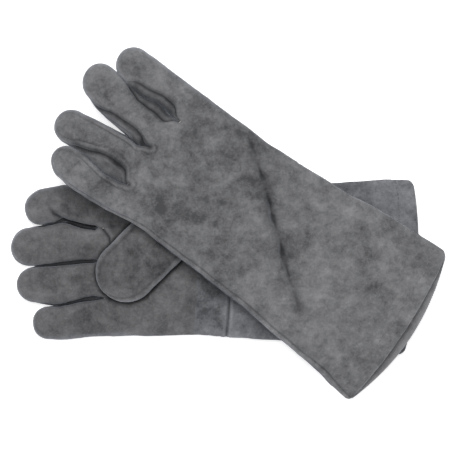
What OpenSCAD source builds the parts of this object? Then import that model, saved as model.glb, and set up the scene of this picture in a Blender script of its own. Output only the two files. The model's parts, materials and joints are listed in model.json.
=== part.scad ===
// A crossed pair of long heat resistant gauntlet gloves in suede leather.
// Each glove is drawn once in its own frame: +X runs from the cuff to the fingertips,
// +Y points to the thumb side and +Z to the back of the hand. Lengths are millimetres.

/* [Leather and lining] */
// Thickness of the suede
leather = 1.4; // [1.2:0.1:1.6]
// Thickness of the fleece in the hand, fingers and thumb
fleece = 1.8; // [1.2:0.2:2.2]
// Thickness of the canvas in the cuff
canvas = 0.8; // [0.6:0.1:1]

/* [Hand] */
// Thickness of the closed hand
palm_h = 24; // [22:1:24]
// Thickness of the fingers
finger_h = 21; // [19:1:21]
// Thickness of the thumb
thumb_h = 16; // [14:1:16]

/* [Cuff] */
// Height of the open cuff end of the upper glove
cuff_open_h = 30; // [24:1:31]
// Distance from the cuff edge to the wrist seam
wrist_u = 160; // [156:1:162]
// Width of the turned hem
hem_w = 18; // [14:1:22]

/* [Pair] */
// Direction in which the fingers of the upper, left glove point
left_angle = 142.5; // [141:0.5:144]
// Direction in which the fingers of the lower, right glove point
right_angle = 177; // [176:0.5:178]

/* [Hidden] */
LEFT = 0;
RIGHT = 1;
SIDE = ["left", "right"];
FINGER = ["index", "middle", "ring", "little"];

// Places of the two cuff centres, from the middle of the pair
CENTRE = [[149.3, -94.3], [159.6, -43.4]];
ANGLE = [left_angle, right_angle];

// Height of the middle of each glove above the floor, along its length
REST_Z = [
    [[-15, 38], [60, 39], [120, 44.5], [170, 53.4], [270, 53.4], [300, 52.5], [352, 48.5]],
    [[-15, 10.8], [60, 10.8], [160, 11.8], [180, 12], [235, 12], [275, 10.5], [352, 10.5]]];

// Half widths of the glove on the thumb side and on the little finger side
THUMB_EDGE = [
    [0, 80.5], [30, 79], [60, 76.5], [85, 72.5], [110, 67.5], [140, 64], [170, 61.5], [200, 59.5], [262, 58.1]];
LITTLE_EDGE = [[0, 75], [20, 73], [70, 70], [110, 68.5], [160, 67.5], [200, 67], [235, 68.5], [262, 70]];
// Half thickness of the cuff and hand
HALF_H = [
    [[-15, cuff_open_h / 2], [60, 12.5], [wrist_u, 11.5], [180, palm_h / 2]],
    [[-15, 10.5], [60, 10.5], [wrist_u, 11.5], [180, palm_h / 2]]];
// How far the middle of each cuff edge bows out, on the back and on the palm
BOW = [[8, 13], [5, 8]];
// Radius of the cuff's corners, and how far each cuff edge slants towards the fingers on the thumb side
CORNER_R = 8;
SLANT = [4, 0];

// Fingers, index to little: middle line, half width, length from the knuckle row, hinge place, splay
KNUCKLE_U = 262;
FINGER_V = [42.8, 9.3, -24, -55.3];
FINGER_W = [15.3, 15, 15, 14.7];
FINGER_L = [78.5, 91.5, 86, 69.5];
HINGE_S = [10, 17, 17, 9];
SPLAY = [[0.6, 2.4, -7.2, -9.6], [-3.2, -4.8, -6.1, -7]];
// Angles round a finger at which the fourchette meets the back
SEAM_A = 25;
HAS_FOURCHETTE = [[false, true], [true, true], [true, true], [true, false]];

// Thumb: hinge place, distance to the middle of its round tip, direction, droop, half widths
THUMB_AT = [204, 29];
THUMB_TIP_S = 66;
THUMB_ROOT_S = -8;
THUMB_ROOT_L = 16;
THUMB_W = [28, 24];
THUMB_A = [-38, -47.5];
THUMB_DROOP = [13, 0];
THUMB_GAP = 0.7;
THUMB_HOLE_R = 17;

// Room for the bends: half angles of the notches at each hinge
FLEX = 30.5;
EXTEND = 8;
CUFF_FOLD = 23;
HINGE_GAP = 0.5;
// The webs between the fingers stay a little further back than the hinges
WEB_SLACK = 0.3;
LINING_SLACK = 3.5;
LINING_GAP = 0.3;
WELT = 1.5;
STITCH_R = 0.45;
STITCH_L = 3.2;
STITCH_STEP = 5;

// ---------------------------------------------------------------- helpers
function spow(x, p) = sign(x) * pow(abs(x), p);
function mix(a, b, t) = a + (b - a) * t;
function smooth(t) = let (c = max(0, min(1, t))) c * c * (3 - 2 * c);
function flat(grid) = [for (row = grid) each row];

// Raises a point to where its part of the glove lies. The lower glove lies palm up.
function lay(g, p) = [p.x, p.y, (g == LEFT ? 1 : -1) * lookup(p.x, REST_Z[g]) + p.z];

// A sheet of even thickness between two grids of points; flip turns its faces over.
module sheet(g, outer, inner, flip) {
    rows = len(outer);
    cols = len(outer[0]);
    function at(side, i, j) = (side * rows + i) * cols + j;
    quads = concat(
        [for (i = [0:rows - 2], j = [0:cols - 2])
            [at(0, i, j), at(0, i, j + 1), at(0, i + 1, j + 1), at(0, i + 1, j)]],
        [for (i = [0:rows - 2], j = [0:cols - 2])
            [at(1, i, j), at(1, i + 1, j), at(1, i + 1, j + 1), at(1, i, j + 1)]],
        [for (j = [0:cols - 2]) each [[at(0, 0, j + 1), at(0, 0, j), at(1, 0, j), at(1, 0, j + 1)],
            [at(0, rows - 1, j), at(0, rows - 1, j + 1), at(1, rows - 1, j + 1), at(1, rows - 1, j)]]],
        [for (i = [0:rows - 2]) each [[at(0, i, 0), at(0, i + 1, 0), at(1, i + 1, 0), at(1, i, 0)],
            [at(0, i + 1, cols - 1), at(0, i, cols - 1), at(1, i, cols - 1), at(1, i + 1, cols - 1)]]]);
    faces = [for (q = quads) each flip
        ? [[q[0], q[2], q[1]], [q[0], q[3], q[2]]]
        : [[q[0], q[1], q[2]], [q[0], q[2], q[3]]]];
    polyhedron([for (p = concat(flat(outer), flat(inner))) lay(g, p)], faces);
}

// Puts a glove in the pair: the upper one back up and mirrored, the lower one palm up.
module place(g) {
    translate([CENTRE[g].x, CENTRE[g].y, 0]) rotate([0, 0, ANGLE[g]])
        if (g == LEFT) mirror([0, 1, 0]) children();
        else rotate([180, 0, 0]) children();
}

// ---------------------------------------------------------------- fingers
function bend_room(z) = HINGE_GAP + (z < 0 ? -z * tan(FLEX) : z * tan(EXTEND));

// A point on finger i: s along it, a round it, k the scale of the section, inset inwards
function finger_point(g, i, s, a, k, inset) =
    let (y = (FINGER_W[i] - inset) * k * spow(cos(a), 0.7),
         z = (finger_h / 2 - (i == 3 ? 0.7 : 0) - inset) * k * spow(sin(a), 0.8),
         d = SPLAY[g][i])
    [KNUCKLE_U + s * cos(d) - y * sin(d), FINGER_V[i] + s * sin(d) + y * cos(d), z];

// Rows from the hinge to the tip; each is [s, scale], and the first follows the notch
TIP_A = [0, 32, 57, 76, 87];
function finger_grid(g, i, angles, inset, start = 0) =
    let (round_s = FINGER_L[i] - FINGER_W[i], tip_r = FINGER_W[i] - inset)
    concat(
        [[for (a = angles) let (p = finger_point(g, i, 0, a, 1, inset))
            finger_point(g, i, HINGE_S[i] + start + bend_room(p.z), a, 1, inset)]],
        [for (t = [0.38, 0.7]) [for (a = angles)
            finger_point(g, i, mix(HINGE_S[i], round_s, t), a, 1, inset)]],
        [for (b = TIP_A) [for (a = angles) finger_point(g, i, round_s + tip_r * sin(b), a, cos(b), inset)]]);

function steps(a, b, n) = [for (k = [0:n]) mix(a, b, k / n)];
// Where the back starts and ends round the finger: at a fourchette, or at the side seam
function back_from(i) = HAS_FOURCHETTE[i][0] ? SEAM_A : 0;
function back_to(i) = HAS_FOURCHETTE[i][1] ? 180 - SEAM_A : 180;
function back_angles(i) = steps(back_from(i), back_to(i), 4);
function front_angles(i) = [for (a = back_angles(i)) -a];

module finger_sheet(g, i, angles, inset, thick, flip, start = 0)
    sheet(g, finger_grid(g, i, angles, inset, start), finger_grid(g, i, angles, inset + thick, start), flip);

module finger_back(g, i) color("dimgray") finger_sheet(g, i, back_angles(i), 0, leather, true);
module finger_front(g, i) color("gray") finger_sheet(g, i, front_angles(i), 0, leather, false);
module finger_fourchette(g, i) color("slategray") {
    if (HAS_FOURCHETTE[i][0]) finger_sheet(g, i, steps(SEAM_A, -SEAM_A, 2), 0, leather, false);
    if (HAS_FOURCHETTE[i][1]) finger_sheet(g, i, steps(180 - SEAM_A, 180 + SEAM_A, 2), 0, leather, true);
}
// The lining has its columns at the same angles as the leather round it
function lining_angles(i) =
    concat(HAS_FOURCHETTE[i][0] ? [0] : [], back_angles(i), HAS_FOURCHETTE[i][1] ? [180] : []);
module finger_lining(g, i) color("lightgray")
    for (side = [1, -1])
        finger_sheet(g, i, side * lining_angles(i), leather + LINING_GAP, fleece, side > 0, 1);

// ---------------------------------------------------------------- hand
function profile(e) = min(1, 1.12 * pow(max(0, 1 - pow(abs(e), 3)), 0.6));
function mid_v(u) = (lookup(u, THUMB_EDGE) - lookup(u, LITTLE_EDGE)) / 2;
function half_w(u) = (lookup(u, THUMB_EDGE) + lookup(u, LITTLE_EDGE)) / 2;
function shell_point(g, u, e, side, inset) =
    [u, mid_v(u) + (half_w(u) - inset) * e, side * (lookup(u, HALF_H[g]) - inset) * profile(e)];

HAND_U = [180, 200, 222, 243];
// The columns of the hand: [finger, angle round it], from the thumb side to the little side
COLUMNS = [for (i = [0:3]) each [for (a = back_angles(i)) [i, a]]];

// A hand row fades from one wide curve at the wrist to the four fingers at the knuckles
function hand_row(g, u, side, inset) =
    let (m = smooth((u - 200) / (KNUCKLE_U - 200)))
    [for (c = COLUMNS)
        let (f = finger_point(g, c[0], u - KNUCKLE_U, side * c[1], 1, inset),
             k = finger_point(g, c[0], 0, side * c[1], 1, 0),
             e = max(-1, min(1, (k.y - mid_v(KNUCKLE_U)) / half_w(KNUCKLE_U))),
             h = shell_point(g, u, e, side, inset))
        [u, mix(h.y, f.y, m), mix(h.z, f.z, m)]];
function cuff_room(z) = HINGE_GAP + (z > 0 ? z * tan(CUFF_FOLD) : 0);
function wrist_row(g, side, inset) =
    [for (p = hand_row(g, 170, side, inset)) [wrist_u + cuff_room(p.z), p.y, p.z]];
function hinge_row(g, side, inset) =
    [for (c = COLUMNS)
        let (p = finger_point(g, c[0], 0, side * c[1], 1, inset),
             slack = inset > leather ? LINING_SLACK : WEB_SLACK)
        finger_point(g, c[0], HINGE_S[c[0]] - slack - bend_room(p.z), side * c[1], 1, inset)];
function hand_grid(g, side, inset) = concat(
    [wrist_row(g, side, inset)],
    [for (u = HAND_U) hand_row(g, u, side, inset)],
    [hand_row(g, KNUCKLE_U, side, inset), hinge_row(g, side, inset)]);

module hand_sheet(g, side, inset, thick)
    sheet(g, hand_grid(g, side, inset), hand_grid(g, side, inset + thick), side > 0);
// The round way through the palm into the thumb
module thumb_hole(g, r) {
    z = (g == LEFT ? 1 : -1) * lookup(THUMB_AT.x, REST_Z[g]) - palm_h / 2;
    translate([THUMB_AT.x, THUMB_AT.y, z - 6]) cylinder(r = r, h = 13, $fn = 48);
}
module hand_back(g) color("dimgray") hand_sheet(g, 1, 0, leather);
module hand_palm(g) color("gray") difference() {
    hand_sheet(g, -1, 0, leather);
    thumb_hole(g, THUMB_HOLE_R);
}
module hand_lining(g) color("lightgray") {
    hand_sheet(g, 1, leather + LINING_GAP, fleece);
    difference() {
        hand_sheet(g, -1, leather + LINING_GAP, fleece);
        thumb_hole(g, THUMB_HOLE_R);
    }
}
// The middle of each fourchette, where it turns round the crotch between two fingers
module fourchette_crotches(g) color("slategray")
    for (i = [0:2]) {
        v = (FINGER_V[i] - FINGER_W[i] * 0.96 + FINGER_V[i + 1] + FINGER_W[i + 1] * 0.96) / 2;
        u = KNUCKLE_U + min(HINGE_S[i], HINGE_S[i + 1]) - 7;
        z = (g == LEFT ? 1 : -1) * lookup(u, REST_Z[g]);
        h = finger_point(g, i, 0, 180 - SEAM_A, 1, leather + 0.4).z * 0.96;
        translate([u, v, z]) cube([leather, 3, 2 * h], center = true);
    }

// A welt is a narrow strip of leather that stands out of a side seam
module welt(g, us, s) {
    function edge(u, out, z) = [u, mid_v(u) + s * (half_w(u) + out), z];
    outer = [for (u = us) [edge(u, 0.1, WELT / 2), edge(u, 0.1 + WELT, WELT / 2)]];
    inner = [for (u = us) [edge(u, 0.1, -WELT / 2), edge(u, 0.1 + WELT, -WELT / 2)]];
    sheet(g, outer, inner, s < 0);
}
module hand_welts(g) color("darkslategray")
    for (s = [1, -1]) welt(g, [wrist_u + 2, 180, 200, 225, 245, KNUCKLE_U], s);

// ---------------------------------------------------------------- thumb
function thumb_width(s) = mix(THUMB_W[0], THUMB_W[1], max(0, min(1, s / THUMB_TIP_S)));
function thumb_point(g, s, a, k, inset) =
    let (y = (thumb_width(s) - inset) * k * spow(cos(a), 0.7),
         z = (thumb_h / 2 - inset) * k * spow(sin(a), 0.8),
         d = THUMB_A[g], droop = THUMB_DROOP[g] * smooth((s - 20) / 80))
    [THUMB_AT.x + s * cos(d) - y * sin(d), THUMB_AT.y + s * sin(d) + y * cos(d),
     z - palm_h / 2 - THUMB_GAP - thumb_h / 2 - droop];
function thumb_grid(g, angles, inset) = concat(
    [for (b = [85, 60, 30, 0]) [for (a = angles)
        thumb_point(g, THUMB_ROOT_S - (THUMB_ROOT_L - inset) * sin(b), a, cos(b), inset)]],
    [for (s = [22, 44]) [for (a = angles) thumb_point(g, s, a, 1, inset)]],
    [for (b = TIP_A) [for (a = angles)
        thumb_point(g, THUMB_TIP_S + (THUMB_W[1] - inset) * sin(b), a, cos(b), inset)]]);
// The thumb lies level with the hand it hangs from, so it is raised as one piece
module thumb_sheet(g, from, to, inset, thick, flip) {
    rise = (g == LEFT ? 1 : -1) * lookup(THUMB_AT.x, REST_Z[g]);
    function level(grid) = [for (row = grid) [for (p = row) [p.x, p.y, p.z + rise - lay(g, p).z + p.z]]];
    a = steps(from, to, 6);
    sheet(g, level(thumb_grid(g, a, inset)), level(thumb_grid(g, a, inset + thick)), flip);
}
module thumb_outer(g) color("dimgray") thumb_sheet(g, 0, -180, 0, leather, false);
module thumb_inner(g) color("gray") difference() {
    thumb_sheet(g, 0, 180, 0, leather, true);
    thumb_hole(g, THUMB_HOLE_R);
}
module thumb_lining(g) color("lightgray") {
    thumb_sheet(g, 0, -180, leather + LINING_GAP, fleece, false);
    difference() {
        thumb_sheet(g, 0, 180, leather + LINING_GAP, fleece, true);
        thumb_hole(g, THUMB_HOLE_R);
    }
}

// ---------------------------------------------------------------- cuff
CUFF_E = [1, 0.97, 0.92, 0.8, 0.55, 0.2, -0.2, -0.55, -0.8, -0.92, -0.97, -1];
// How far the edge stands back from u at e: bowed out in the middle, round at the corners
function cuff_back_set(g, u, e, side) =
    let (c = max(0, 1 - (1 - abs(e)) * half_w(0) / CORNER_R))
    CORNER_R * (1 - sqrt(1 - c * c)) * (1 - smooth(u / 40))
    + (SLANT[g] * e - BOW[g][side > 0 ? 0 : 1] * (1 - e * e)) * (1 - smooth(u / 60));
function cuff_row(g, u, side, inset) = [for (e = CUFF_E)
    let (p = shell_point(g, u, e, side, inset)) [u + cuff_back_set(g, u, e, side), p.y, p.z]];
function cuff_grid(g, side, inset, from, to) = concat(
    [for (u = from) cuff_row(g, u, side, inset)],
    [for (p = [cuff_row(g, to, side, inset)]) to < wrist_u ? p
        : [for (q = p) [wrist_u - cuff_room(q.z), q.y, q.z]]]);
module cuff_sheet(g, side, inset, thick, from, to)
    sheet(g, cuff_grid(g, side, inset, from, to), cuff_grid(g, side, inset + thick, from, to), side > 0);
CUFF_U = [0, 18, 45, 80, 115, 140];
module cuff_back(g) color("dimgray") cuff_sheet(g, 1, 0, leather, CUFF_U, wrist_u);
module cuff_palm(g) color("gray") cuff_sheet(g, -1, 0, leather, CUFF_U, wrist_u);
module cuff_lining(g) color("beige")
    for (side = [1, -1])
        cuff_sheet(g, side, leather + LINING_GAP, canvas, [hem_w + 1, 45, 80, 115, 140], wrist_u);
module cuff_hem(g) color("dimgray")
    for (side = [1, -1]) cuff_sheet(g, side, leather, leather, [0.5], hem_w);
module cuff_welts(g) color("darkslategray")
    for (s = [1, -1]) welt(g, [12, 20, 45, 80, 115, wrist_u - 2], s);
// Thread that holds the turned hem, one row across the back and one across the palm
module hem_stitches(g) color("gainsboro")
    for (side = [1, -1], k = [-13:13]) {
        e = k * STITCH_STEP / 78;
        u = hem_w - 4;
        p = shell_point(g, u, e, side, 0.2);
        q = lay(g, [u + cuff_back_set(g, u, e, side), p.y, p.z]);
        translate(q) rotate([90, 0, 0]) cylinder(r = STITCH_R, h = STITCH_L, center = true, $fn = 16);
    }

// ---------------------------------------------------------------- the pair
for (g = [LEFT, RIGHT]) {
    for (i = [0:3]) {
        name = str(SIDE[g], "_", FINGER[i]);
        place(g) finger_back(g, i);
        place(g) finger_front(g, i);
        place(g) finger_fourchette(g, i);
        place(g) finger_lining(g, i);
    }
    place(g) thumb_outer(g);
    place(g) thumb_inner(g);
    place(g) thumb_lining(g);
    place(g) hand_back(g);
    place(g) hand_palm(g);
    place(g) hand_lining(g);
    place(g) hand_welts(g);
    place(g) fourchette_crotches(g);
    place(g) cuff_back(g);
    place(g) cuff_palm(g);
    place(g) cuff_lining(g);
    place(g) cuff_hem(g);
    place(g) cuff_welts(g);
    place(g) hem_stitches(g);
}
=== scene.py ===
"""The looks of a crossed pair of suede gauntlet gloves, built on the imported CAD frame."""
import json
import math

import bpy
import numpy as np
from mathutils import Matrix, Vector


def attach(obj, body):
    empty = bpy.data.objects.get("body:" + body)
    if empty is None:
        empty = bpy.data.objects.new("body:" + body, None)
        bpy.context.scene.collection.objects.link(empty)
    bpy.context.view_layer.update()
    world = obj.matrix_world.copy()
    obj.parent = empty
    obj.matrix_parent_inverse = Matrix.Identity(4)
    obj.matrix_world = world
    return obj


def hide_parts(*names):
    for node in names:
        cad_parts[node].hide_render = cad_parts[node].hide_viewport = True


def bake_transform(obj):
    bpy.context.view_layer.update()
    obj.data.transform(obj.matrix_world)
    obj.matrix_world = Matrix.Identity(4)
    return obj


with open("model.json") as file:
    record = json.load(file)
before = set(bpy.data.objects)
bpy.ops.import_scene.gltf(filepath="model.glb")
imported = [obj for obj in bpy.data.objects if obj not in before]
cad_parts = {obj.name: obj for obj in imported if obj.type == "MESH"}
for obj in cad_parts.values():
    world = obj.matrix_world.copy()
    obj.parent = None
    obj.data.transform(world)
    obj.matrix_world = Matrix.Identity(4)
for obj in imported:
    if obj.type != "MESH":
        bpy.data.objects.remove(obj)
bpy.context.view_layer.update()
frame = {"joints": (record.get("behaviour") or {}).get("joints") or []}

# ------------------------------------------------------------------ sizes, in millimetres
# u runs along a glove from its cuff to its fingertips, v across it to the thumb side, and s along
# a finger from the knuckle row or along the thumb from its hinge. Where a value differs between
# the gloves, the left one's comes first, and a row of values goes from index to little finger.
MM = 0.001
FAR = 99.0  # a distance at which no seam shows
THREAD_R, STITCH_L, STITCH_STEP = 0.45, 3.2, 5.0
HEM_STITCH_U = 10  # how far the hem's stitches lie from the cuff's edge
CANVAS_DEPTH, FLEECE_DEPTH, FINGER_FLEECE_DEPTH, THUMB_FLEECE_DEPTH = 2.2, 3.0, 2.6, 2.4
CANVAS_ROW, WELT_ROW = 14, 12  # the cuff rows at which the canvas and the side welts start
LEFT, RIGHT = 0, 1
SIDE = ["left", "right"]
FINGER = ["index", "middle", "ring", "little"]
INDEX, LITTLE = 0, 3
WEBS = len(FINGER) - 1
BACK, PALM = 1, -1
EDGES = 0  # the side of a fourchette, which is neither back nor palm
JOINT = {j["name"]: j for j in frame["joints"]}

WRIST_U = 160.0
KNUCKLE_U = 262.0
CUFF_BLEND_U, CUFF_TOP_U = 165.0, 186.0  # the cuff's sheet turns into the hand's between these
FINGER_ROOT_U = 245.0
FINGER_H = 10.5  # half thickness
LITTLE_THINNER = 0.5
BEND_REACH = 13  # how far on each side of its hinge a finger's bend zone reaches; nothing here bends the leather
WRIST_REACH = 22  # the same for the cuff and the wrist
# The webs between neighbouring fingers: where they lie, and how far they are pulled to the thumb side
CROTCH_S = [[2.0, 8.0, 3.0], [10.0, 8.0, 7.0]]
WEB_SHIFT = [[0, 4.0, 1.5], [0, 0, 0]]
# Half height of the web at the crotch, and a little way behind it, on the upper and the lower side
WEB_UP_Z, WEB_UP_BEHIND_Z = 7.5, 10.5
WEB_DOWN_Z, WEB_DOWN_BEHIND_Z = 4.6, 8
TOUCH_S = [[64, 27, 52], [64, 71, 46]]  # how far along neighbouring fingers touch

# Outline of each finger: distance along it, reach on the thumb side, reach on the little finger side
OUTLINE = [
    [[(0, 17.4, 14.2), (14, 16.8, 13.2), (24, 16.5, 12.9), (33, 16.3, 15.3), (43, 16.2, 17.4),
      (52, 16.1, 16.8), (61, 15.6, 16.0)],
     [(0, 19.6, 19.0), (10, 17.5, 19.2), (24, 19.4, 19.5), (33, 17.2, 19.5), (43, 14.4, 19.4),
      (50, 14.4, 19.3), (60, 16.0, 18.4), (68, 17.2, 17.0), (76, 17.6, 15.2)],
     [(0, 16.5, 19.2), (10, 17.0, 19.2), (17, 17.2, 19.2), (28, 18.4, 19.0), (40, 17.5, 16.6),
      (50, 17.0, 14.4), (60, 16.7, 14.0), (72.5, 16.2, 14.3)],
     [(0, 12.4, 14.3), (11, 12.4, 14.0), (23, 13.0, 13.7), (35, 15.9, 13.2), (47, 19.2, 12.2),
      (56, 19.8, 9.6)]],
    [[(0, 16.6, 17.3), (18, 17.5, 17.2), (29, 19.0, 15.5), (38, 20.5, 12.5), (45, 21.0, 10.6),
      (50, 19.9, 11.0), (56, 18.8, 12.4), (63.5, 17.2, 14.3)],
     [(0, 16.5, 13.1), (15, 16.6, 12.8), (27, 18.7, 12.8), (36, 22.0, 13.6), (42, 22.8, 14.0),
      (50, 21.8, 14.5), (58, 20.6, 15.2), (67, 19.7, 15.8), (74, 18.8, 16.0)],
     [(0, 20.2, 12.4), (10, 20.5, 12.4), (21, 21.0, 12.6), (37, 20.3, 15.3), (48, 19.7, 16.8),
      (56, 19.3, 15.8), (62, 19.0, 14.8), (68, 18.8, 13.4)],
     [(0, 18.8, 15.8), (9, 19.2, 15.0), (18, 18.7, 14.7), (34, 16.3, 15.0), (46, 14.6, 15.0),
      (53.5, 14.5, 14.4)]]]
# How far each fingertip reaches, and how far it drifts to the thumb side
TIP_S = [[77.8, 92.8, 88.8, 71.3], [80.0, 90.8, 83.8, 68.0]]
TIP_DRIFT = [[0.0, 1.2, 0.3, 1.3], [-2.2, 0.0, 0.3, 0.4]]
# Angle round the finger of the seam between fourchette and leather, on the side that faces up
LOW_SEAM = [(0, 26), (40, 22), (60, 18), (80, 9)]
TOP_SEAM = [
    [[None, [(0, 50), (10, 62), (28, 66), (43, 66), (52, 58), (57, 36), (61, 20), (70, 10)]],
     [[(0, 40), (6, 52), (12, 58), (26, 60), (38, 50), (49, 30), (59, 14), (80, 9)],
      [(0, 46), (10, 56), (18, 60), (30, 66), (42, 64), (52, 58), (60, 36), (66, 20), (80, 9)]],
     [[(0, 36), (10, 26), (20, 16), (70, 11)],
      [(0, 60), (10, 72), (20, 78), (30, 80), (38, 76), (50, 54), (61, 38), (68, 20), (80, 9)]],
     [[(0, 36), (10, 26), (30, 18), (56, 11)], None]],
    [[None, LOW_SEAM], [LOW_SEAM, LOW_SEAM], [LOW_SEAM, LOW_SEAM], [LOW_SEAM, None]]]

# Height of the middle of each glove above the floor, along u
REST_Z = [
    [(-15, 38), (60, 39.5), (120, 44.5), (170, 53.2), (270, 53.2), (300, 52.2), (352, 48.5)],
    [(-15, 10.8), (60, 10.8), (160, 11.8), (180, 12), (235, 12), (275, 10.6), (352, 10.6)]]
# Half widths of each glove on the thumb side and on the little finger side, along u
THUMB_EDGE = [
    [(0, 80.5), (30, 79), (60, 76.5), (85, 73), (110, 69), (140, 65.3), (170, 62.8), (200, 60.4), (225, 60.6),
     (262, 60.2)],
    [(0, 81.5), (15, 81.3), (30, 79.8), (60, 76.5), (85, 73.5), (110, 67.5), (140, 64), (170, 61.5),
     (200, 59.5), (262, 59.4)]]
LITTLE_EDGE = [
    [(0, 75), (15, 73.5), (30, 71.2), (60, 69.8), (85, 68.8), (110, 67), (136, 65.8), (186, 65.9),
     (215, 66.2), (242, 67.4), (262, 69.6)],
    [(0, 73.6), (20, 72.2), (70, 69), (110, 66.8), (150, 66), (180, 65.4), (210, 67.6), (235, 70.2),
     (262, 71.1)]]
# Half thickness of the cuff and hand, along u
HALF_H = [[(-15, 7.0), (60, 11.0), (160, 11.5), (185, 12)], [(-15, 10.5), (60, 10.5), (160, 11.5), (185, 12)]]
# The cuff's edge: how far its middle bows out on the back and on the palm, the radius of its
# corners, how far it slants towards the fingers on the thumb side, and how far it stands back
BOW = [[6.3, 15.0], [5, 8]]
CORNER_R = 5
SLANT = [5.5, 0]
SET_BACK = [2.5, 0]

# Thumb: where its round tip starts, its root, half widths at the root and the tip, how far its
# middle lies to one side, its direction in degrees, and how far it hangs down
THUMB_TIP_S = [64, 60.5]
THUMB_ROOT_S, THUMB_ROOT_L = -8, 16
THUMB_W = [[25, 22], [27, 27]]
THUMB_SIDE = [3, 4.8]
THUMB_A = [-35, -47.5]
THUMB_H = 8.0  # half thickness
THUMB_BEND_S = -10, 14  # where along the thumb its bend zone lies; nothing here bends the leather
THUMB_DROOP = [13, 0]


# ------------------------------------------------------------------ small maths
def smooth(t):
    t = np.clip(t, 0, 1)
    return t * t * (3 - 2 * t)


def mix(a, b, t):
    return a + (b - a) * t


def bell(x, width):
    return np.exp(-((x / width) ** 2))


def curve(u, pts):
    """A smooth curve through (u, value) pairs that does not overshoot."""
    x = np.array([p[0] for p in pts], float)
    y = np.array([p[1] for p in pts], float)
    h = np.diff(x)
    d = np.diff(y) / h
    m = np.zeros(len(x))
    m[0], m[-1] = d[0], d[-1]
    same = d[:-1] * d[1:] > 0
    m[1:-1][same] = 2 * d[:-1][same] * d[1:][same] / (d[:-1] + d[1:])[same]
    u = np.clip(u, x[0], x[-1])
    k = np.clip(np.searchsorted(x, u, side="right") - 1, 0, len(h) - 1)
    t = (u - x[k]) / h[k]
    return ((2 * t**3 - 3 * t**2 + 1) * y[k] + (t**3 - 2 * t**2 + t) * h[k] * m[k]
            + (3 * t**2 - 2 * t**3) * y[k + 1] + (t**3 - t**2) * h[k] * m[k + 1])


rng = np.random.default_rng(7)
PERM = np.concatenate([rng.permutation(256)] * 3)
GRAD = rng.normal(size=(256, 3))
GRAD /= np.linalg.norm(GRAD, axis=1)[:, None]


def noise(p, size, seed=0):
    """Smooth gradient noise, about -1 to 1, with features of about the given size."""
    q = np.asarray(p, float) / size + 57.3 + 13.7 * seed
    i = np.floor(q).astype(int)
    f = q - i
    w = f * f * f * (f * (f * 6 - 15) + 10)
    total = 0
    for dx in (0, 1):
        for dy in (0, 1):
            for dz in (0, 1):
                k = PERM[(i[..., 0] + dx) & 255]
                k = PERM[k + ((i[..., 1] + dy) & 255)]
                k = PERM[k + ((i[..., 2] + dz) & 255)]
                dot = ((f - [dx, dy, dz]) * GRAD[k]).sum(-1)
                wt = ((w[..., 0] if dx else 1 - w[..., 0]) * (w[..., 1] if dy else 1 - w[..., 1])
                      * (w[..., 2] if dz else 1 - w[..., 2]))
                total = total + wt * dot
    return total * 1.6


def line_distance(u, v, line):
    """Distance from points to a polyline, how far along it (0 to 1) and on which side."""
    line = np.array(line, float)
    seg = np.diff(line, axis=0)
    length = np.linalg.norm(seg, axis=1)
    start = np.concatenate([[0], np.cumsum(length)])
    best = np.full(np.shape(u), 1e9)
    along = np.zeros(np.shape(u))
    hand = np.zeros(np.shape(u))
    for k in range(len(seg)):
        du, dv = u - line[k, 0], v - line[k, 1]
        t = np.clip((du * seg[k, 0] + dv * seg[k, 1]) / length[k] ** 2, 0, 1)
        d = np.hypot(du - t * seg[k, 0], dv - t * seg[k, 1])
        near = d < best
        best = np.where(near, d, best)
        along = np.where(near, (start[k] + t * length[k]) / start[-1], along)
        hand = np.where(near, np.sign(seg[k, 0] * dv - seg[k, 1] * du), hand)
    return best, along, hand


# ------------------------------------------------------------------ where each glove lies
class Glove:
    """The frame of one glove, taken from its joints: u to the fingertips, v to the thumb side."""

    def __init__(self, g):
        self.g = g
        self.name = SIDE[g]
        fold = JOINT[f"{self.name}_cuff_fold"]
        sign = -1 if g == LEFT else 1
        self.lateral = sign * np.array(fold["axis"][:2])
        self.forward = np.array([-self.lateral[1], self.lateral[0]])
        self.origin = np.array(fold["pos_m"][:2]) / MM - self.forward * WRIST_U
        self.fingers = []
        for i, f in enumerate(FINGER):
            j = JOINT[f"{self.name}_{f}_bend"]
            hinge = self.local(np.array(j["pos_m"][:2]) / MM)
            across = sign * np.array(j["axis"][:2])
            y = np.array([across @ self.forward, across @ self.lateral])
            x = np.array([y[1], -y[0]])
            s = (hinge[0] - KNUCKLE_U) / x[0]
            self.fingers.append({"x": x, "y": y, "v": hinge[1] - s * x[1], "hinge_s": s})
        self.thumb_at = self.local(np.array(JOINT[f"{self.name}_thumb_swing"]["pos_m"][:2]) / MM)
        self.thumb_z = JOINT[f"{self.name}_thumb_swing"]["pos_m"][2] / MM

    def local(self, xy):
        d = xy - self.origin
        return np.array([d @ self.forward, d @ self.lateral])

    def world(self, p, level=None):
        """Glove points to row frame points. The lower glove lies palm up."""
        xy = self.origin + p[..., :1] * self.forward + p[..., 1:2] * self.lateral
        up = p[..., 2] if self.g == LEFT else -p[..., 2]
        z = (curve(p[..., 0], REST_Z[self.g]) if level is None else level) + up
        return np.concatenate([xy, z[..., None]], -1)

    def up(self, side):
        """True where that side of the glove faces the sky."""
        return (side == BACK) == (self.g == LEFT)


GLOVES = [Glove(LEFT), Glove(RIGHT)]


# ------------------------------------------------------------------ the glove's surface
def half_w(G, u):
    return (curve(u, THUMB_EDGE[G.g]) + curve(u, LITTLE_EDGE[G.g])) / 2


def mid_v(G, u):
    return (curve(u, THUMB_EDGE[G.g]) - curve(u, LITTLE_EDGE[G.g])) / 2


def profile(e):
    return np.clip(1 - np.abs(e) ** 3.2, 0, 1) ** 0.55


def shell(G, u, e, side):
    """Across and up for the hand and cuff: e goes from 1 at the thumb edge to -1 at the other."""
    return mid_v(G, u) + half_w(G, u) * e, side * curve(u, HALF_H[G.g]) * profile(e)


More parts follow.
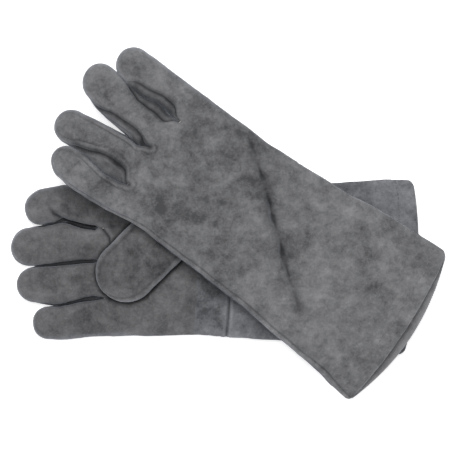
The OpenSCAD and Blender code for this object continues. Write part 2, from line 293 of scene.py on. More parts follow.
def reach(G, i, s):
    """How far finger i reaches to the thumb side and to the little finger side at s."""
    rows = OUTLINE[G.g][i]
    return curve(s, [(r[0], r[1]) for r in rows]), curve(s, [(r[0], r[2]) for r in rows])


def finger_ring(G, i, s, a):
    """A point on a finger: s along it and a round it, in degrees."""
    f = G.fingers[i]
    start = OUTLINE[G.g][i][-1][0]
    tip = TIP_S[G.g][i]
    round_in = np.clip((s - start) / (tip - start), 0, 1)
    close = np.sqrt(1 - round_in ** 2)
    plus, minus = reach(G, i, s)
    c, n = np.cos(np.radians(a)), np.sin(np.radians(a))
    middle = (plus - minus) / 2 + TIP_DRIFT[G.g][i] * round_in
    y = middle + (plus + minus) / 2 * close ** 0.95 * np.sign(c) * np.abs(c) ** 0.75
    half_h = FINGER_H - (LITTLE_THINNER if i == LITTLE else 0)
    z = half_h * close ** 0.8 * np.sign(n) * np.abs(n) ** 0.85
    u = KNUCKLE_U + s * f["x"][0] + y * f["y"][0]
    v = f["v"] + s * f["x"][1] + y * f["y"][1]
    return np.stack(np.broadcast_arrays(u, v, z), -1)


N_COL = 31


def seam_angle(G, i, side, thumb_side, s):
    """Angle of a fourchette seam, measured from that edge of the finger; 0 where there is none."""
    if i == (INDEX if thumb_side else LITTLE):
        return 0.0
    line = TOP_SEAM[G.g][i][0 if thumb_side else 1] if G.up(side) else LOW_SEAM
    return float(curve(s, line))


def finger_angles(G, i, side, s):
    """Angles of a finger's columns on one side, thumb side first."""
    return np.linspace(seam_angle(G, i, side, True, s), 180.0 - seam_angle(G, i, side, False, s), N_COL)


def web_v(G, i, s):
    """The line between finger i and the next one."""
    a, b = G.fingers[i], G.fingers[i + 1]
    low = a["v"] + s * a["x"][1] - reach(G, i, s)[1] * a["y"][1]
    high = b["v"] + s * b["x"][1] + reach(G, i + 1, s)[0] * b["y"][1]
    return (low + high) / 2 + WEB_SHIFT[G.g][i] * web_pull(G, i, s)


def web_pull(G, web, s):
    return 1 - smooth((s - CROTCH_S[G.g][web]) / 11)


def sheet_row(G, i, side, s):
    """One row of finger i's back or palm side; behind the crotch it meets the next finger's."""
    p = finger_ring(G, i, s, side * finger_angles(G, i, side, s))
    t = np.linspace(0, 1, N_COL)
    for web, edge, near in ((i - 1, 0, t), (i, -1, 1 - t)):
        if 0 <= web < WEBS:
            w = web_pull(G, web, s)
            behind = 1 - smooth((s - CROTCH_S[G.g][web] + 16) / 16)
            heights = (WEB_UP_Z, WEB_UP_BEHIND_Z) if G.up(side) else (WEB_DOWN_Z, WEB_DOWN_BEHIND_Z)
            web_z = mix(*heights, behind)
            target = np.array([KNUCKLE_U + s, web_v(G, web, s), side * web_z])
            p = p + (w * (1 - smooth(near / 0.42)) ** 1.5)[:, None] * (target - p[edge])
    return p


def knuckle_columns(G, side):
    """Where each finger's columns cross the knuckle row, from 1 at the thumb edge to -1."""
    rows = [sheet_row(G, i, side, 0.0) for i in range(len(FINGER))]
    e = [np.clip((r[:, 1] - mid_v(G, KNUCKLE_U)) / half_w(G, KNUCKLE_U), -1, 1) for r in rows]
    # both sides share the edge columns, so that the back and the palm meet all along the glove
    e[INDEX][0] = 1
    e[LITTLE][-1] = -1
    return e


E_COL = [{side: knuckle_columns(G, side) for side in (BACK, PALM)} for G in GLOVES]


def hand_row(G, i, side, s):
    """A row of finger i's columns anywhere behind the knuckles."""
    u = KNUCKLE_U + s
    f = sheet_row(G, i, side, s)
    y, z = shell(G, u, E_COL[G.g][side][i], side)
    m = smooth((u - 212) / (KNUCKLE_U - 6 - 212))
    mu = smooth((u - 236) / (KNUCKLE_U - 236))
    return np.stack([mix(u, f[:, 0], mu), mix(y, f[:, 1], m), mix(z, f[:, 2], m)], -1)


TIP_ROWS = np.sin(np.radians([6, 12, 18, 24, 30, 36, 42, 48, 54, 60, 66, 71, 76, 81, 85, 88.3]))


def finger_steps(G, i):
    """Distances of a finger's rows, from the hand to the fingertip."""
    root = FINGER_ROOT_U - KNUCKLE_U
    start = OUTLINE[G.g][i][-1][0]
    near = np.arange(root, 19.5, 1.5)
    return np.concatenate([near, np.linspace(19.6, start, int((start - 19.6) / 1.5) + 1),
                           start + (TIP_S[G.g][i] - start) * TIP_ROWS])


def any_row(G, i, side, s):
    return hand_row(G, i, side, s) if s < 0 else sheet_row(G, i, side, s)


def finger_rows(G, i, side):
    return np.array([any_row(G, i, side, s) for s in finger_steps(G, i)])


def wall_rows(G, i, web, n=13):
    """The fourchette on one side of finger i, from the crotch to the fingertip."""
    thumb_side = web == i - 1
    edge = 0 if thumb_side else -1
    rows = []
    t = np.linspace(0, 1, n)[:, None]
    crotch, touch = CROTCH_S[G.g][web], TOUCH_S[G.g][web]
    for s in wall_steps(G, i, web):
        ab, ap = seam_angle(G, i, BACK, thumb_side, s), seam_angle(G, i, PALM, thumb_side, s)
        a = np.linspace(ab, -ap, n) if thumb_side else np.linspace(180 - ab, 180 + ap, n)
        top, bottom = any_row(G, i, BACK, s)[edge], any_row(G, i, PALM, s)[edge]
        end = mix(top, bottom, t)
        middle = np.array([KNUCKLE_U + s, web_v(G, web, s)])
        end[:, :2] = mix(end[:, :2], middle, np.sin(np.pi * t) ** 0.5)
        p = mix(finger_ring(G, i, s, a), end, web_pull(G, web, s))
        p[0], p[-1] = top, bottom
        # where two fingers touch, their sides press together
        press = 1.5 * smooth((s - crotch + 3) / 4) * (1 - smooth((s - touch + 8) / 8))
        p[:, 1] += press * np.sin(np.pi * t[:, 0]) ** 0.7 * (1 if thumb_side else -1)
        rows.append(p)
    return np.array(rows)


def wall_steps(G, i, web):
    s = finger_steps(G, i)
    return s[s > CROTCH_S[G.g][web] - 3.1]


def tip_fade(G, i, s):
    """0 along the finger, 1 at its tip."""
    start = OUTLINE[G.g][i][-1][0]
    return smooth((s - start + 14) / 14)[:, None]


def all_columns(G, side, u):
    """A row across the whole hand at u, behind the finger roots."""
    rows = [hand_row(G, i, side, u - KNUCKLE_U) for i in range(4)]
    return np.concatenate([rows[0]] + [r[1:] for r in rows[1:]])


def edge_set(G, e, side, u):
    """How far a cuff row stands back from u: bowed out in the middle, round at the corners."""
    c = np.clip(1 - (1 - np.abs(e)) * half_w(G, 0.0) / CORNER_R, 0, 1)
    bow = BOW[G.g][0 if side == BACK else 1] * (1 - e * e)
    return (CORNER_R * (1 - np.sqrt(1 - c * c)) * (1 - smooth(u / 40))
            + (SET_BACK[G.g] + SLANT[G.g] * e - bow) * (1 - smooth(u / 60)))


def cuff_e(G, side):
    e = E_COL[G.g][side]
    return np.concatenate([e[0]] + [x[1:] for x in e[1:]])


def cuff_row(G, side, u):
    e = cuff_e(G, side)
    y, z = shell(G, np.full_like(e, u), e, side)
    return np.stack([u + edge_set(G, e, side, u), y, z], -1)


# ------------------------------------------------------------------ surface detail
# Lines on the leather, through (u, v) points: the upper glove's long crease, the short seam below
# the middle finger, and the fold along the lower glove's index finger
CREASE = [(210.5, 57.2), (188.7, 43.2), (163.7, 26.2), (150.9, 15.3), (130.5, 0.2), (115.4, -12.4),
          (98.4, -24.5), (79.6, -37.5), (66.1, -33.7), (51, -32)]
SHORT_SEAM = [(271.2, 24), (265.5, 17.2), (263.4, 9.4), (264.7, 0.4), (268.8, -5.1)]
FOLD = [(321, 43.6), (315.2, 35), (304.3, 29.4), (289.9, 25.7), (278.3, 24.5)]
PALM_SEAM_U = 157.5
# The plainest lighter and darker spots on the sides that face up: u, v, length, width, and how much lighter
# or darker.
# Most are dirt and wear; the strongest, on the lower glove's palm at (284, 17), is a lighter patch of leather
# made lighter still with painted light that lifts the upper glove's shadow there.
MARKS = [
    [(19, -39, 9, 7, -0.5), (34, -66, 12, 5, -0.5), (180, -17, 16, 12, -0.45), (150, -2, 14, 10, -0.3),
     (252, 19, 9, 9, -0.35), (215, 17, 16, 9, -0.2), (112, 51, 10, 9, -0.3), (92, 30, 12, 8, -0.2),
     (78, 40, 16, 12, 0.45), (58, 60, 14, 10, 0.4), (240, 40, 16, 8, 0.2), (66, -45, 18, 10, -0.25),
     (140, 40, 20, 10, 0.15), (6, 10, 8, 60, 0.25), (230, -30, 16, 12, -0.15), (110, -50, 30, 7, 0.15)],
    [(284, 17, 15, 9, 1.2), (318, 15, 14, 9, -0.2), (300, -24, 16, 9, -0.15), (290, -50, 14, 8, -0.1),
     (200, -45, 24, 12, -0.1), (40, 66, 30, 10, 0.3), (8, 60, 10, 26, 0.5), (150, -60, 20, 6, 0.3)]]


def groove(d, depth=0.8, lip=0.35, width=1.0):
    return -depth * bell(d, width) + lip * bell(d - 2.6 * width, 1.4 * width)


def thumb_detail(G, p, edge_d):
    q = p + [0, 0, 90 + 40 * G.g]
    out = 0.6 * noise(q, 40, 8) + 0.35 * noise(q, 14, 9) + 0.12 * noise(q, 5, 10)
    # the outer leather's seam runs a little inside the thumb's outline
    d = np.abs(edge_d - 5.5)
    top = smooth((p[..., 2] if G.g == LEFT else -p[..., 2]) / 3)
    out = out + top * (0.5 * bell(d, 1.3) - 0.35 * bell(edge_d - 8, 1.2))
    out = out + 0.5 * groove(edge_d)
    # painted shade along the top of the thumb's upper side, at the thumb's edge and in the groove inside its
    # seam
    dark = 0.8 * bell(THUMB_H + 0.2 - p[..., 2], 1.6) * top
    dark = dark + 0.5 * bell(edge_d, 1.0) + 0.35 * top * bell(edge_d - 8, 1.2)
    worn = 0.3 * spots(q, 20, 11) + 0.25 * spots(q, 7, 12) + 0.2 * spots(q, 4, 13)
    # a painted highlight in a band just inside the edge, the rest of the thumb a little darker
    worn = worn - 0.7 + 1.3 * bell(edge_d - 4.0, 2.6)
    return out, dark, worn


def spots(q, size, seed):
    """Soft patches, about -1 to 1, with harder edges than the noise they come from."""
    return np.tanh(2.2 * noise(q, size, seed))


def thumb_gap(G, u, v):
    """How far a point of the palm lies outside the thumb's outline."""
    d = math.radians(THUMB_A[G.g])
    du, dv = u - G.thumb_at[0], v - G.thumb_at[1]
    s, y = du * math.cos(d) + dv * math.sin(d), dv * math.cos(d) - du * math.sin(d)
    tip = THUMB_TIP_S[G.g]
    w = mix(*THUMB_W[G.g], smooth(s / tip))
    y = y - THUMB_SIDE[G.g]
    return np.where(s > tip, np.hypot(s - tip, y), np.abs(y)) - w + 30 * (1 - smooth((s + 4) / 8))


def palm_seams(G, u, v, out, dark, worn):
    """The seam across the wrist and the short one below the middle finger, with painted shade in their
    grooves and painted highlights on their ridges, and the thumb's painted shade on the palm round it.
    """
    d = np.abs(u - PALM_SEAM_U - 1.2 * np.sin(v / 23))
    out = out + groove(d, 1.0, 0.6, 1.2)
    dark = np.maximum(dark, 0.8 * bell(d, 1.1))
    # painted highlight on the ridges beside the wrist seam
    worn = worn + 1.5 * bell(d - 2.4, 1.3)
    d, _, _ = line_distance(u, v, SHORT_SEAM)
    out = out + groove(d, 1.0, 0.9, 1.3)
    dark = np.maximum(dark, 0.85 * bell(d, 1.3))
    worn = worn + 1.1 * bell(d - 2.8, 1.7)
    # painted shadow on the palm just outside the thumb's outline
    dark = np.maximum(dark, 0.95 * bell(np.clip(thumb_gap(G, u, v), 0, None), 2.3))
    return out, dark, worn


def index_fold(u, v, out, dark):
    """The fold along the lower glove's index finger, with painted shade in its crease."""
    d, t, _ = line_distance(u, v, FOLD)
    strength = smooth(t / 0.25)
    out = out - 2.2 * strength * bell(d, 1.9) + 0.9 * strength * bell(d - 5, 2.8)
    return out, np.maximum(dark, 0.9 * strength * bell(d, 1.5))


def long_crease(u, v, q, out, dark):
    """The crease that runs slantwise over the upper glove's back, with painted shade in it and in a broader
    band round it.
    """
    d, t, hand = line_distance(u, v, CREASE)
    strength = smooth(t / 0.12) * smooth((1 - t) / 0.3) * np.clip(0.85 + 0.9 * noise(q, 16, 6), 0.3, 1.1)
    d = np.abs(d + 1.6 * noise(q, 13, 17))
    out = (out - 2.8 * strength * bell(d, 2.6)
           + 1.4 * strength * bell(d - 8, 5) * (0.6 + 0.4 * hand))
    dark = np.maximum(dark, 0.8 * strength * bell(d, 2.5))
    dark = np.maximum(dark, 0.32 * smooth(t / 0.1) * smooth((1 - t) / 0.15) * bell(d, 6.5))
    return out, dark


def little_side_seam(v, q, seam_d, fade, out, dark, worn):
    """The side seam by the little finger, which lies a little in from the edge, with a painted highlight on
    its ridge and painted shade in the groove beside it.
    """
    edge = np.where(v < 0, seam_d, FAR) + 0.5 * noise(q, 20, 15)
    keep = 1 - 0.6 * fade
    out = out + keep * (0.65 * bell(edge - 4.2, 1.0) - 0.5 * bell(edge - 6.6, 0.9))
    dark = np.maximum(dark, 0.5 * keep * bell(edge - 6.6, 0.9))
    worn = worn + 0.7 * keep * bell(edge - 4.2, 1.4)
    return out, dark, worn


def detail(G, p, side, seam_d, fade, pit):
    """How far the skin stands out along its normal, in mm, how much painted shade darkens it, and its tone
    and wear with painted highlights and shade.
    """
    u, v = p[..., 0], p[..., 1]
    q = p + [0, 0, 300 * (side + 3 * G.g)]
    out = 1.25 * noise(q, 62, 1) + 0.75 * noise(q * [1, 1.5, 1], 27, 2)
    out = out + 0.28 * noise(q, 11, 3) + 0.08 * noise(q, 4, 5)
    out = out * (0.4 + 0.6 * smooth((u + 6) / 20))
    # short wrinkles across the knuckles and the wrist
    across = bell(u - 268, 14) + 0.7 * bell(u - 168, 16) + 0.6 * bell(u - 303, 8)
    out = out + 0.6 * across * noise(q * [2.6, 0.8, 1], 16, 4)
    worn = 0.45 * spots(q, 30, 11) + 0.2 * spots(q, 12, 12) + 0.08 * spots(q, 6, 13)
    # the back of the upper hand is a little darker than its cuff
    worn = worn - 1.0 * bell(u - 215, 60) * (G.up(side) and G.g == LEFT)
    # painted shade in the seam grooves, weaker towards the fingertips, and deep painted shade in the
    # fourchettes' gaps
    dark = (0.9 - 0.8 * fade) * bell(seam_d, 1.35)
    dark = np.maximum(dark, 0.95 * pit ** 1.3)
    # fingers lie in each other's shade
    from_side = half_w(G, KNUCKLE_U) - np.abs(v - mid_v(G, KNUCKLE_U))
    between = smooth((from_side - 2) / 6) * smooth((u - 268) / 8)
    dark = np.maximum(dark, 0.7 * between * (1 - fade) * bell(seam_d, 3.0))
    out = out + groove(seam_d) * (1 - 0.8 * fade)
    if side == PALM:
        out, dark, worn = palm_seams(G, u, v, out, dark, worn)
    if side == PALM and G.g == RIGHT:
        out, dark = index_fold(u, v, out, dark)
    if side == BACK and G.g == LEFT:
        out, dark = long_crease(u, v, q, out, dark)
        out, dark, worn = little_side_seam(v, q, seam_d, fade, out, dark, worn)
    if G.up(side):
        # the listed spots: dirt and wear, and painted light in the lower glove's palm patch
        for mu, mv, ru, rv, amount in MARKS[G.g]:
            r = np.hypot((u - mu) / ru, (v - mv) / rv) + 0.35 * noise(q, 10, 14)
            worn = worn + amount * bell(np.clip(r, 0, None), 1)
    if G.g == LEFT:
        # painted shade along the upper glove's edge that lies over the other glove, darkening both the seam
        # attribute and the tone
        low_edge = bell(np.clip(seam_d, 0, None), 3.5) * (v < 0) * smooth((u - 95) / 30) * (1 - fade)
        dark = np.maximum(dark, 0.75 * low_edge)
        worn = worn - 0.9 * low_edge
    # painted highlight: a lighter band just in from every sheet edge and seam, stronger towards the
    # fingertips
    painted_rim_highlight = 0.95 * bell(np.clip(seam_d - 2.2, 0, None), 3.2) * (seam_d > 0.8)
    worn = worn + painted_rim_highlight * (0.35 + 0.65 * fade)
    return out, dark, worn


# ------------------------------------------------------------------ patches
PATCHES = []


def grid_distance(P, from_start, from_end):
    """Distance in mm of each column from the sheet's first or last column."""
    step = np.linalg.norm(np.diff(P, axis=1), axis=2)
    run = np.concatenate([np.zeros((P.shape[0], 1)), np.cumsum(step, 1)], 1)
    d = np.full(run.shape, FAR)
    if from_start:
        d = np.minimum(d, run)
    if from_end:
        d = np.minimum(d, run[:, -1:] - run)
    return d


def add_patch(G, name, P, side, slot, ride, replaces, edge, **more):
    """Keeps a sheet of leather for later: P holds its rows of points, edge their distance to a seam."""
    patch = {"G": G, "name": f"{G.name}_{name}", "P": np.array(P, float), "side": side, "slot": slot,
             "ride": ride, "replaces": (f"{G.name}_{replaces}",), "edge": edge,
             "flip": False, "level": None, "part": "skin", "fade": 0.0, "pit": 0.0}
    patch.update(more)
    PATCHES.append(patch)


def add_cuff(G, side):
    """The cuff on one side, which takes on the hand's columns past the wrist."""
    word, node_name = ("back", "cuff_back") if side == BACK else ("front", "cuff_palm")
    slot = "suede_back" if G.g == LEFT or side == BACK else "suede_cuff"
    us = np.concatenate([[0, 0.6, 1.6, 3.2], np.linspace(5, CUFF_TOP_U, 140)])
    cuff = np.array([cuff_row(G, side, u) for u in us[:-1]] + [all_columns(G, side, CUFF_TOP_U)])
    hand = np.array([all_columns(G, side, max(u, CUFF_BLEND_U)) for u in us])
    t = smooth((us - CUFF_BLEND_U) / (CUFF_TOP_U - CUFF_BLEND_U))[:, None, None]
    P = mix(cuff, hand, t)
    way = ("blend", f"{G.name}_hand", f"{G.name}_cuff", WRIST_U + WRIST_REACH, WRIST_U - WRIST_REACH)
    add_patch(G, f"gauntlet_{word}", P, side, slot, way, node_name, grid_distance(P, True, True))


def add_hand(G, side):
    name, node_name = ("hand_back_panel", "hand_back") if side == BACK else ("palm_panel", "hand_palm")
    P = np.array([all_columns(G, side, u) for u in np.linspace(CUFF_TOP_U, FINGER_ROOT_U, 44)])
    slot = "suede_back" if side == BACK else "suede_palm"
    add_patch(G, name, P, side, slot, ("ride", f"{G.name}_hand"), node_name, grid_distance(P, True, True))


def finger_way(G, i):
    h = G.fingers[i]["hinge_s"]
    return "finger", i, h - BEND_REACH, h + BEND_REACH


def add_finger(G, i, side):
    word, slot = ("back", "suede_back") if side == BACK else ("front", "suede_palm")
    P = finger_rows(G, i, side)
    d = grid_distance(P, i == INDEX, i == LITTLE)
    for web, start, end in ((i - 1, True, False), (i, False, True)):
        if 0 <= web < WEBS:
            back_off = np.clip(CROTCH_S[G.g][web] - finger_steps(G, i), 0, None)[:, None]
            d = np.minimum(d, np.hypot(grid_distance(P, start, end), back_off))
    add_patch(G, f"{FINGER[i]}_{word}_leather", P, side, slot, finger_way(G, i), f"{FINGER[i]}_{word}", d,
              fade=tip_fade(G, i, finger_steps(G, i)))


def fourchette_shade(G, web, steps, columns):
    """How dark a fourchette is: deepest in the middle, and less where the fingers touch."""
    touch = TOUCH_S[G.g][web]
    across = np.sin(np.pi * np.linspace(0, 1, columns))[None]
    deep = across * (1 - smooth((steps - touch + 6) / 8))[:, None]
    if G.g == RIGHT:
        return np.maximum(deep, 0.7 * (1 - smooth((steps - touch) / 10))[:, None])
    if web == 1:
        return np.maximum(deep, bell(steps - CROTCH_S[G.g][web] - 6, 9)[:, None])
    return deep * 0.55 if web == 2 else deep


def add_fourchette(G, i, web):
    P = wall_rows(G, i, web)
    steps = wall_steps(G, i, web)
    add_patch(G, f"{FINGER[i]}_fourchette_{'outer' if web == i else 'inner'}", P, EDGES,
              f"suede_fourchette_{G.name}", finger_way(G, i), f"{FINGER[i]}_fourchette",
              grid_distance(P, True, True), flip=(web == i), fade=tip_fade(G, i, steps),
              pit=fourchette_shade(G, web, steps, P.shape[1]))


def build_glove(G):
    for side in (BACK, PALM):
        add_cuff(G, side)
        add_hand(G, side)
        for i in range(len(FINGER)):
            add_finger(G, i, side)
    for i in range(len(FINGER)):
        for web in (i - 1, i):
            if 0 <= web < WEBS:
                add_fourchette(G, i, web)


def thumb_grid(G, a):
    """The thumb's rows, root to tip, at angles a round it. Angle -90 faces away from the palm."""
    d = math.radians(THUMB_A[G.g])
    rows = []

    def ring(s, ky, kz):
        w = mix(*THUMB_W[G.g], smooth(s / THUMB_TIP_S[G.g]))
        c, n = np.cos(np.radians(a)), np.sin(np.radians(a))
        y = THUMB_SIDE[G.g] + w * ky * np.sign(c) * np.abs(c) ** 0.72
        z = THUMB_H * kz * np.sign(n) * np.abs(n) ** 0.8
        z = z - THUMB_DROOP[G.g] * smooth((s - 20) / 80)
        # the root flattens and sinks into the palm, where it is sewn in
        sunk = 1 - smooth((s + 14) / 32)
        z = z * (1 - 0.55 * sunk) + 13.5 * sunk
        rows.append(np.stack([G.thumb_at[0] + s * math.cos(d) - y * math.sin(d),
                              G.thumb_at[1] + s * math.sin(d) + y * math.cos(d), z], -1))
    for t in TIP_ROWS[::-1]:
        ring(THUMB_ROOT_S - THUMB_ROOT_L * t, (1 - t * t) ** 0.5, (1 - t * t) ** 0.4)
    for s in np.arange(THUMB_ROOT_S, THUMB_TIP_S[G.g], 1.5):
        ring(s, 1, 1)
    for t in np.concatenate([[0], TIP_ROWS]):
        ring(THUMB_TIP_S[G.g] + THUMB_W[G.g][1] * t, (1 - t * t) ** 0.5, (1 - t * t) ** 0.4)
    return np.array(rows)


def build_thumb(G):
    for side, word in ((PALM, "outer"), (BACK, "inner")):
        P = thumb_grid(G, side * np.linspace(0, 180, 57))
        add_patch(G, f"thumb_{word}_leather", P, side, "suede_palm", ("thumb", *THUMB_BEND_S),
                  f"thumb_{word}", grid_distance(P, True, True), level=G.thumb_z, part="thumb")


# ------------------------------------------------------------------ meshes with shared normals
def faces_of(rows, cols, flip):
    i, j = np.meshgrid(np.arange(rows - 1), np.arange(cols - 1), indexing="ij")
    a = (i * cols + j).ravel()
    q = np.stack([a, a + 1, a + cols + 1, a + cols], 1)
    return q[:, ::-1] if flip else q


def shared_normals(group):
    """Area-weighted normals over several patches, welded where their points meet."""
    pts = np.concatenate([g["W"].reshape(-1, 3) for g in group])
    key = np.round(pts / 0.004).astype(np.int64)
    _, inv = np.unique(key, axis=0, return_inverse=True)
    inv = inv.reshape(-1)
    acc = np.zeros((inv.max() + 1, 3))
    base = 0
    for g in group:
        W = g["W"].reshape(-1, 3)
        q = g["faces"]
        n = np.cross(W[q[:, 2]] - W[q[:, 0]], W[q[:, 3]] - W[q[:, 1]])
        for k in range(4):
            np.add.at(acc, inv[base + q[:, k]], n)
        base += len(W)
    length = np.linalg.norm(acc, axis=1)
    acc /= np.maximum(length, 1e-12)[:, None]
    out = acc[inv]
    base = 0
    for g in group:
        k = g["W"].shape[0] * g["W"].shape[1]
        g["N"] = out[base:base + k].reshape(g["W"].shape)
        base += k


def settle(parts):
    """Places the patches of one glove and shares their normals."""
    for g in parts:
        G = g["G"]
        g["W"] = G.world(g["P"], g["level"])
        outward = (g["side"] == BACK) == (G.g == LEFT)
        if g["side"] == 0:
            outward = G.g == RIGHT
        g["turned"] = outward != g["flip"]
        g["faces"] = faces_of(*g["P"].shape[:2], g["turned"])
    shared_normals(parts)


def bend(G, way):
    """The two bodies that a piece joins, and where its bend starts and ends."""
    hand = f"{G.name}_hand"
    if way[0] == "blend":
        bodies = way[1:3]
        line = [(u, 0.0) for u in way[3:5]]
    elif way[0] == "thumb":
        d = math.radians(THUMB_A[G.g])
        bodies = (hand, f"{G.name}_thumb")
        line = [(G.thumb_at[0] + s * math.cos(d), G.thumb_at[1] + s * math.sin(d)) for s in way[1:3]]
    else:
        f = G.fingers[way[1]]
        bodies = (hand, f"{G.name}_{FINGER[way[1]]}")
        line = [(KNUCKLE_U + s * f["x"][0], f["v"] + s * f["x"][1]) for s in way[2:4]]
    return bodies, [G.world(np.array([[u, v, 0.0]]))[0] * MM for u, v in line]


def build_mesh(name, grids, slot, G, way, replaces=()):
    """One object from one or more grids of points in millimetres."""
    verts, normals, faces, base = [], [], [], 0
    for g in grids:
        verts.append(np.maximum(g["W"].reshape(-1, 3), [-1e4, -1e4, 0.1]) * MM)
        normals.append(g["N"].reshape(-1, 3))
        faces.append(g["faces"] + base)
        base += len(verts[-1])
    mesh = bpy.data.meshes.new(name)
    mesh.from_pydata(np.concatenate(verts).tolist(), [], np.concatenate(faces).tolist())
    mesh.polygons.foreach_set("use_smooth", np.ones(len(mesh.polygons), bool))
    mesh.update()
    # seam carries painted shade; the other attribute carries tone and wear with painted highlights and shade
    for key in ("seam", "worn"):
        values = [np.asarray(g.get(key, np.zeros(g["W"].shape[:-1])), np.float32).ravel() for g in grids]
        mesh.attributes.new(key, "FLOAT", "POINT").data.foreach_set("value", np.concatenate(values))
    mesh.normals_split_custom_set_from_vertices(np.concatenate(normals).tolist())
    obj = bpy.data.objects.new(name, mesh)
    bpy.context.scene.collection.objects.link(obj)
    mesh.materials.append(MATERIAL[slot])
    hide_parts(*replaces)
    if way[0] == "ride":
        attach(obj, way[1])
        return obj
    bodies, at = bend(G, way)
    at[1][2] = at[0][2]
    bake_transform(obj)
    return obj


def every_other(first, end):
    """Every second number from first up to end, with the last one always among them."""
    return sorted(set(range(first, end, 2)) | {end - 1})


def inside(g, depth, first=0, last=None):
    """The same sheet seen from inside, a little way in from the skin."""
    rows = every_other(first, last or g["W"].shape[0])
    cols = every_other(0, g["W"].shape[1])
    pick = np.ix_(rows, cols)
    W = g["W"][pick] - g["N"][pick] * depth
    return {"W": W, "N": -g["N"][pick], "faces": faces_of(*W.shape[:2], not g["turned"])}


def hem_lip(g):
    """The edge leather turned over into the cuff and stitched down."""
    outward = g["W"][0] - g["W"][6]
    outward /= np.linalg.norm(outward, axis=1)[:, None]
    rows = [g["W"][0] + outward * du - g["N"][0] * depth
            for du, depth in ((0, 0), (0.8, 0.3), (1.15, 1.0), (0.8, 1.8), (0, 2.3))]
    rows += [g["W"][k] - g["N"][k] * 2.4 for k in range(3, 17)]
    lip = {"W": np.array(rows), "G": g["G"], "faces": faces_of(len(rows), g["W"].shape[1], g["turned"])}
    shared_normals([lip])
    lip["seam"] = np.zeros(lip["W"].shape[:2])
    # painted light: the lip of the layer that faces down is made far lighter than the other, lifting the
    # shade that the upper layer casts on it
    below = g["G"].up(g["side"])
    lip["worn"] = np.full(lip["W"].shape[:2], 0.5 if below else 2.2) + 0.5 * noise(lip["W"], 9, 3)
    return lip


def ribbon(g, col, first):
    """A welt: a narrow rounded strip that stands out along one column of a sheet."""
    W, N = g["W"][first:], g["N"][first:]
    across = W[:, min(col + 1, W.shape[1] - 1)] - W[:, max(col - 1, 0)]
    across /= np.linalg.norm(across, axis=1)[:, None]
    phi = np.radians(np.linspace(0, 180, 9))
    P = (W[:, col][:, None] + across[:, None] * 0.8 * np.cos(phi)[None, :, None]
         + N[:, col][:, None] * (1.0 * np.sin(phi) - 0.25)[None, :, None])
    strip = {"W": P, "faces": faces_of(*P.shape[:2], not g["turned"])}
    shared_normals([strip])
    strip["worn"] = 0.4 + 0.6 * noise(P, 7, 2)
    return strip


def stitch_row(g, row):
    """Short threads along one row of a sheet."""
    line, N = g["W"][row], g["N"][row]
    run = np.concatenate([[0], np.cumsum(np.linalg.norm(np.diff(line, axis=0), axis=1))])
    theta, phi = np.radians(np.linspace(0, 180, 7)), np.radians(np.linspace(0, 360, 9))
    made = []
    for at in np.arange(6, run[-1] - 6, STITCH_STEP):
        ends = [np.array([np.interp(at + d, run, line[:, k]) for k in range(3)])
                for d in (-STITCH_L / 2, STITCH_L / 2)]
        up = np.array([np.interp(at, run, N[:, k]) for k in range(3)])
        along = (ends[1] - ends[0]) / 2
        across = np.cross(up, along / np.linalg.norm(along))
        ring = across * np.cos(phi)[:, None] + up * np.sin(phi)[:, None]
        P = ((ends[0] + ends[1]) / 2 + up * 0.1 + along * np.cos(theta)[:, None, None]
             + THREAD_R * np.sin(theta)[:, None, None] * ring[None])
        stitch = {"W": P, "faces": faces_of(*P.shape[:2], False)}
        shared_normals([stitch])
        made.append(stitch)
    return made


# ------------------------------------------------------------------ materials
def node(tree, kind, **settings):
    made = tree.nodes.new(kind)
    for key, value in settings.items():
        setattr(made, key, value)
    return made


